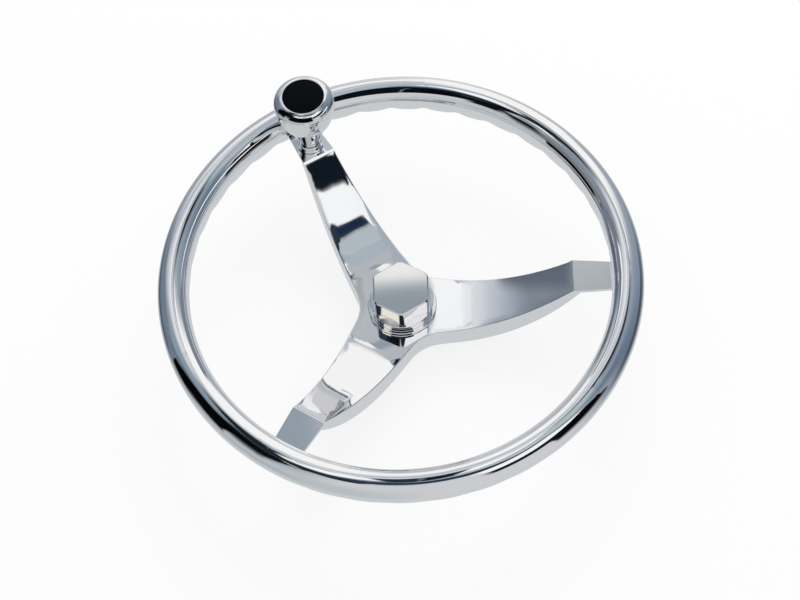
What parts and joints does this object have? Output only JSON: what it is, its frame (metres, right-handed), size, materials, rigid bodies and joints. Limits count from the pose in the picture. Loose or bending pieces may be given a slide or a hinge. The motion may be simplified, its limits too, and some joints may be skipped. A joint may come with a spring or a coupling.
{
  "type": "boat steering wheel",
  "caption": "Dished boat steering wheel: a waved tube rim with finger grips on cast spokes, a centre cap nut and a free-turning spinner knob.",
  "frame": {"origin": "centre of the hub's rear face, on the shaft's axis", "axes": "+Z along the shaft towards the driver, +X along the spoke on the driver's right, the knob on the spoke at 120 degrees"},
  "size_m": [0.3936, 0.3936, 0.1519],
  "materials": {
    "polished_steel": "mirror polish",
    "cast_steel": "mirror polish",
    "plated_metal": "bright plate",
    "turned_steel": "as turned",
    "fastener_steel": "plain",
    "spring_steel": "plain",
    "black_plastic": "gloss",
    "core_plastic": "moulded",
    "bush_plastic": "turned",
    "black_rubber": "matt"
  },
  "bodies": {
    "wheel": {"rim_tube": "polished_steel", "spoke_casting": "cast_steel", "centre_cap_nut": "plated_metal", "nut_trim_ring": "plated_metal", "nut_gasket": "black_rubber", "knob_spindle": "turned_steel", "spindle_collar": "plated_metal", "collar_gasket": "black_rubber", "thrust_washer": "bush_plastic", "retaining_washer": "fastener_steel", "retaining_screw": "fastener_steel", "tab_washer": "fastener_steel", "spring_washer": "spring_steel", "tab_nut": "fastener_steel"},
    "knob": {"knob_shell": "plated_metal", "knob_core": "core_plastic", "knob_face": "black_plastic", "upper_bush": "bush_plastic", "lower_bush": "bush_plastic"}
  },
  "joints": [
    {"name": "knob_spin", "type": "hinge", "parent": "wheel", "child": "knob", "pos_m": [-0.07775, 0.13467, 0.1], "axis": [0, 0, 1], "continuous": true}
  ]
}
